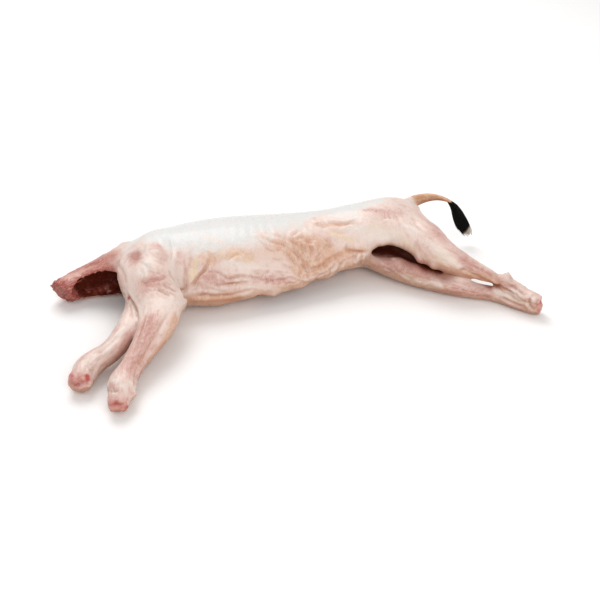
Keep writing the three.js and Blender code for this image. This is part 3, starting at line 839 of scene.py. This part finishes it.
class Finish:
    """A material being made, one node at a time."""

    def __init__(self, name):
        self.material = bpy.data.materials.new(name)
        self.material.use_nodes = True
        self.tree = self.material.node_tree
        self.tree.nodes.clear()

    def node(self, kind, settings=None, sockets=None, out=0):
        """Adds a node, sets it up, fills its sockets and gives back one of its outputs."""
        made = self.tree.nodes.new(kind)
        for key, value in (settings or {}).items():
            setattr(made, key, value)
        for key, value in (sockets or {}).items():
            if isinstance(value, Wire):
                self.tree.links.new(value.socket, made.inputs[key])
            else:
                made.inputs[key].default_value = value
        return Wire(self, made.outputs[out]) if len(made.outputs) else made

    def mark(self, name):
        return self.node("ShaderNodeAttribute", {"attribute_name": name}, out="Fac")

    def specks(self, where, scale, detail=4.0, rough=0.55, warp=0.0):
        """Noise between 0 and 1, spread evenly enough to read well."""
        grey = self.node("ShaderNodeTexNoise", None,
                         {"Vector": where, "Scale": scale, "Detail": detail, "Roughness": rough,
                          "Distortion": warp})
        return self.node("ShaderNodeMapRange", None, {"Value": grey, "From Min": 0.3, "From Max": 0.7})

    def step(self, value, low, high):
        return self.node("ShaderNodeMapRange", {"interpolation_type": "SMOOTHSTEP"},
                         {"Value": value, "From Min": low, "From Max": high})

    def ridge(self, value, width):
        """Thin lines where a noise passes its middle value."""
        away = self.node("ShaderNodeMath", {"operation": "ABSOLUTE"}, {0: value - 0.5})
        return self.step(1.0 - away * (1.0 / width), 0.0, 1.0)

    def mix(self, share, first, second, blend="MIX"):
        return self.node("ShaderNodeMix", {"data_type": "RGBA", "blend_type": blend},
                         {0: share, 6: first, 7: second}, out=2)


def tone(red, green, blue):
    """A colour from its screen values, 0 to 255."""
    parts = []
    for value in (red, green, blue):
        value /= 255.0
        parts.append(value / 12.92 if value <= 0.04045 else ((value + 0.055) / 1.055) ** 2.4)
    return (*parts, 1.0)


MEAT = {
    "pale": tone(230, 208, 198),
    "pink": tone(208, 165, 154),
    "rose": tone(190, 134, 122),
    # purplish-pink, partly painted shade
    "mauve_and_shade": tone(192, 138, 127),
    # painted orange-brown shade
    "warm_shade": tone(216, 172, 143),
    "cream": tone(229, 205, 176),
    "silver": tone(232, 217, 208),
    # whitish, for the back's membrane and its painted highlight
    "white_and_highlight": tone(221, 221, 219),
    # painted shade in creases
    "fold": tone(190, 134, 104),
    "raw": tone(158, 70, 62),
    "raw_light": tone(220, 166, 150),
    # painted shade in the hollows
    "deep": tone(88, 34, 23),
    "gore": tone(186, 84, 72),
    "cut": tone(206, 136, 130),
    "tan": tone(186, 138, 104),
    "tail_light": tone(222, 178, 146),
}
# How painted shade darkens the skin that faces down.
UNDERSIDE_SHADE = (0.66, 0.48, 0.36, 1.0)
SHADOW = (0.34, 0.16, 0.11, 1.0)


def flesh_finish():
    """Skinned meat under its thin wet membrane, with painted shade, shadow and highlights."""
    make = Finish("meat_and_membrane")
    where = make.node("ShaderNodeTexCoord", out="Object")
    grain = make.node("ShaderNodeAttribute", {"attribute_name": "grain"}, out="Vector")
    clouds = make.specks(where, 17.0, 3.0, 0.55, 0.4)
    mottle = make.specks(where, 62.0, 4.0, 0.6, 0.8)
    fleck = make.specks(where, 190.0, 3.0, 0.6, 0.5)
    fine = make.specks(where, 480.0, 2.0, 0.6)
    fibre = make.specks(grain, 0.14, 4.0, 0.6, 0.6)
    thread = make.specks(grain, 0.42, 3.0, 0.6, 0.4)

    pink = make.mark("pink")
    muscle = pink * 0.85 + clouds * 0.55 + mottle * 0.55 + fibre * 0.45 - 0.67
    colour = make.mix(make.step(muscle, 0.0, 0.8), MEAT["pale"], MEAT["pink"])
    rose = make.step(pink * 0.8 + mottle * 0.4 + fleck * 0.25, 0.75, 1.25)
    colour = make.mix(rose, colour, MEAT["rose"])
    # Painted orange-brown shade in creases and where the skin turns under.
    warm_shade = make.step(make.mark("warm_shade") + mottle * 0.3 + clouds * 0.15 - 0.2, 0.1, 0.95)
    colour = make.mix(warm_shade * 0.9, colour, MEAT["warm_shade"])
    fat = make.step(make.mark("fat") + mottle * 0.35 - 0.15, 0.2, 0.85)
    colour = make.mix(fat, colour, MEAT["cream"])
    # Painted shade in the creases of the folds and in the valleys of the slack folds.
    crease = make.step(make.mark("fold") + fleck * 0.2 - 0.1, 0.05, 0.9)
    colour = make.mix(crease * 0.62, colour, MEAT["fold"])
    veil = make.ridge(fibre, 0.25) * make.step(mottle, 0.25, 0.75)
    colour = make.mix(veil * 0.5, colour, MEAT["silver"])
    # Pale membrane, with a painted highlight on the backs of the slack folds and on some pale patches.
    pale = make.step(make.mark("pale") + make.mark("ridge") * 0.3 + thread * 0.4 - 0.2, 0.15, 0.9)
    colour = make.mix(pale * 0.85, colour, MEAT["silver"])
    # A painted highlight along the belly flap's edge.
    colour = make.mix(make.mark("rim_highlight") * 0.6, colour, MEAT["silver"])
    # Purplish-pink muscle, partly painted shade.
    mauve_and_shade = make.step(make.mark("mauve_and_shade") + mottle * 0.55 + thread * 0.3 - 0.45, 0.05, 0.95)
    colour = make.mix(mauve_and_shade * 0.8, colour, MEAT["mauve_and_shade"])
    # The back's whitish membrane, with a painted highlight.
    white_and_highlight = make.mark("white_and_highlight") + mottle * 0.16 + fibre * 0.12 - 0.14
    colour = make.mix(make.step(white_and_highlight, 0.0, 0.55) * 0.8, colour, MEAT["silver"])
    colour = make.mix(make.step(white_and_highlight, 0.15, 1.0), colour, MEAT["white_and_highlight"])
    red = make.step(make.mark("red") + mottle * 0.35 + thread * 0.25 - 0.3, 0.1, 0.9)
    raw = make.mix(make.step(thread * 0.5 + mottle * 0.3 + make.mark("red") * -0.5 + 0.35, 0.1, 0.75),
                   MEAT["raw"], MEAT["raw_light"])
    colour = make.mix(red, colour, raw)
    tail = make.mix(make.step(fibre, 0.3, 0.9), MEAT["tan"], MEAT["tail_light"])
    colour = make.mix(make.mark("tan"), colour, tail)
    colour = make.mix(make.mark("cut") * 0.9, colour, MEAT["cut"])
    colour = make.mix(make.step(make.mark("gore") + fleck * 0.3 - 0.15, 0.15, 0.9), colour, MEAT["gore"])
    # Painted shade where the skin faces down, and painted shadow under the groin's edge.
    colour = make.mix(make.mark("under"), colour, UNDERSIDE_SHADE, "MULTIPLY")
    colour = make.mix(make.mark("shadow"), colour, SHADOW, "MULTIPLY")
    # Painted shade deep in the hollows.
    dark = make.step(make.mark("dark") + mottle * 0.2 - 0.1, 0.05, 0.95)
    colour = make.mix(dark, colour, MEAT["deep"])
    colour = make.mix(make.step(fine, 0.3, 1.0) * 0.08, colour, MEAT["rose"], "MULTIPLY")

    relief = fibre * 0.5 + thread * 0.4 + fleck * 0.35 + fine * 0.15 + mottle * 0.3
    bump = make.node("ShaderNodeBump", None, {"Strength": 0.5, "Distance": 0.0015, "Height": relief})
    rough = 0.34 + mottle * 0.16 + fleck * 0.12
    shader = make.node("ShaderNodeBsdfPrincipled", None, {
        "Base Color": colour, "Roughness": rough, "Normal": bump, "IOR": 1.42,
        "Subsurface Weight": 0.1, "Subsurface Radius": (1.0, 0.4, 0.25), "Subsurface Scale": 0.004,
        "Coat Weight": 0.25, "Coat Roughness": 0.22})
    dull = make.node("ShaderNodeBsdfPrincipled", None, {
        "Base Color": colour, "Roughness": 0.9, "Normal": bump, "Specular IOR Level": 0.0})
    both = make.node("ShaderNodeMixShader", None, {
        0: make.step(make.mark("dark") + make.mark("shadow"), 0.1, 0.7), 1: shader, 2: dull})
    make.node("ShaderNodeOutputMaterial", None, {"Surface": both})
    return make.material


def hair_finish():
    """Coarse black hair with a pale tip."""
    make = Finish("tail_hair_strands")
    where = make.node("ShaderNodeTexCoord", out="Object")
    streak = make.specks(where, 700.0, 2.0, 0.5)
    tip = make.step(make.mark("tip") + streak * 0.4 - 0.2, 0.35, 0.75)
    dark = make.mix(streak, tone(3, 2, 2), tone(13, 10, 8))
    pale = make.mix(streak, tone(172, 152, 132), tone(232, 222, 208))
    shader = make.node("ShaderNodeBsdfPrincipled", None, {
        "Base Color": make.mix(tip, dark, pale), "Roughness": 0.6, "Specular IOR Level": 0.15})
    make.node("ShaderNodeOutputMaterial", None, {"Surface": shader})
    return make.material


def make_flesh():
    """The whole skinned carcass."""
    skin = Skin(fine_skin(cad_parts["carcass"], "flesh", SKIN_PITCH))
    legs, tail, neck = round_off(skin)
    work_skin(skin)
    draw_grain(skin)
    calm = ease(skin.face[:, 2] + 0.5 * skin.face[:, 1], 0.3, 0.9) * (1.0 - legs)
    roughen(skin, 0.9 * (1.0 - tail) * (1.0 - 0.7 * calm))
    open_neck(skin, neck)
    colour_skin(skin, legs, tail, neck)
    skin.store()
    piece = add_object(skin.mesh, "flesh")
    skin.mesh.shade_smooth()
    skin.mesh.materials.append(flesh_finish())
    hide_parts("carcass")
    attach(piece, "root")
    return piece


# The tuft's middle line with half its width and half its depth there, in millimetres.
TUFT = [(305.5, 159, 80, 3.4, 3.4), (313.5, 156, 71, 5.6, 5.0), (319, 152.5, 60, 8.4, 6.2),
        (323, 149, 49, 10.5, 7.5), (328.5, 145.5, 37, 11.5, 8.0), (336, 141.5, 26, 8.5, 6.5),
        (343, 139.5, 14, 4.0, 3.5)]
LOCKS = 46
STRANDS_IN_A_LOCK = 25
STRAND_POINTS = 8
STRAND_WIDTH = 0.5
PALE_FROM = (331.0, 33.0)


def make_tuft():
    """The coarse hair left on the tail's tip: locks of thin tapered strands."""
    pick = random.Random(11)
    line = bpy.data.curves.new("tuft_line", "CURVE")
    line.dimensions = "3D"
    line.bevel_depth = STRAND_WIDTH * MM
    line.bevel_resolution = 0
    line.use_fill_caps = True
    knots = np.array(TUFT, float)
    for _ in range(LOCKS):
        lock_turn = pick.uniform(0.0, math.tau)
        lock_out = math.sqrt(pick.random())
        lock_end = pick.uniform(0.66, 1.0) - 0.12 * lock_out
        lean = Vector((pick.gauss(0.0, 1.3), pick.gauss(0.0, 1.0), pick.gauss(0.0, 1.0)))
        for _ in range(STRANDS_IN_A_LOCK):
            start = pick.uniform(0.0, 0.4)
            end = lock_end + pick.gauss(0.0, 0.03)
            turn = lock_turn + pick.gauss(0.0, 0.3)
            out = min(1.0, max(0.0, lock_out + pick.gauss(0.0, 0.12)))
            strand = line.splines.new("POLY")
            strand.points.add(STRAND_POINTS - 1)
            for k in range(STRAND_POINTS):
                share = k / (STRAND_POINTS - 1)
                at = (start + (end - start) * share) * (len(knots) - 1)
                i = min(int(at), len(knots) - 2)
                x, y, z, wide, deep = knots[i] + (knots[i + 1] - knots[i]) * (at - i)
                apart = 1.0 - 0.35 * share ** 2
                point = Vector((x + out * wide * apart * math.cos(turn),
                                y + out * deep * apart * math.sin(turn),
                                z + out * wide * 0.35 * math.cos(turn))) + lean * 1.8 * share ** 2
                strand.points[k].co = (*(point * MM), 1.0)
                strand.points[k].radius = 1.0 - 0.75 * share ** 2
    mesh = baked(add_object(line, "tuft_line"), "tail_tuft")
    bpy.data.curves.remove(line)
    flat = np.empty(len(mesh.vertices) * 3)
    mesh.vertices.foreach_get("co", flat)
    x, _, z = flat.reshape(-1, 3).T / MM
    tip = ease((x - PALE_FROM[0]) * 0.9 + (PALE_FROM[1] - z) * 0.55, 0.0, 12.0)
    mesh.attributes.new("tip", "FLOAT", "POINT").data.foreach_set("value", tip)
    piece = add_object(mesh, "tail_tuft")
    mesh.materials.append(hair_finish())
    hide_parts("tail_hair")
    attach(piece, "root")
    return piece


def make_floor():
    """A plain pale floor."""
    mesh = bpy.data.meshes.new("floor")
    form = bmesh.new()
    bmesh.ops.create_grid(form, x_segments=1, y_segments=1, size=12.0)
    form.to_mesh(mesh)
    form.free()
    floor = add_object(mesh, "floor")
    finish = Finish("pale_floor")
    shader = finish.node("ShaderNodeBsdfPrincipled", None,
                         {"Base Color": tone(252, 252, 252), "Roughness": 0.9,
                          "Specular IOR Level": 0.1})
    finish.node("ShaderNodeOutputMaterial", None, {"Surface": shader})
    mesh.materials.append(finish.material)


def add_lamp(name, place, aim, size, power, colour=(1.0, 1.0, 1.0)):
    """A square soft lamp turned to a place."""
    lamp = bpy.data.lights.new(name, "AREA")
    lamp.shape = "SQUARE"
    lamp.size = size
    lamp.energy = power
    lamp.color = colour
    made = add_object(lamp, name)
    made.location = place
    made.rotation_euler = (Vector(aim) - Vector(place)).to_track_quat("-Z", "Y").to_euler()


def make_studio():
    """Soft daylight from above and behind, a weak fill, and the camera."""
    world = bpy.data.worlds.new("studio")
    bpy.context.scene.world = world
    world.use_nodes = True
    backdrop = world.node_tree.nodes["Background"]
    backdrop.inputs["Color"].default_value = (1.0, 0.99, 0.98, 1.0)
    backdrop.inputs["Strength"].default_value = 0.6
    add_lamp("window", (-0.3, 1.5, 1.9), (0.0, 0.05, 0.05), size=1.6, power=34.0)
    add_lamp("fill", (0.4, -1.9, 1.3), (0.0, 0.0, 0.05), size=1.6, power=20.0,
             colour=(1.0, 0.97, 0.95))
    _, _, back = camera_axes()
    lens = bpy.data.cameras.new("camera")
    lens.lens = CAMERA_LENS
    lens.sensor_width = CAMERA_SENSOR
    camera = add_object(lens, "camera")
    camera.location = Vector(CAMERA_AIM) + back * CAMERA_DISTANCE
    camera.rotation_euler = (-back).to_track_quat("-Z", "Y").to_euler()
    bpy.context.scene.camera = camera
    bpy.context.scene.view_settings.view_transform = "Standard"


make_flesh()
make_tuft()
make_floor()
make_studio()
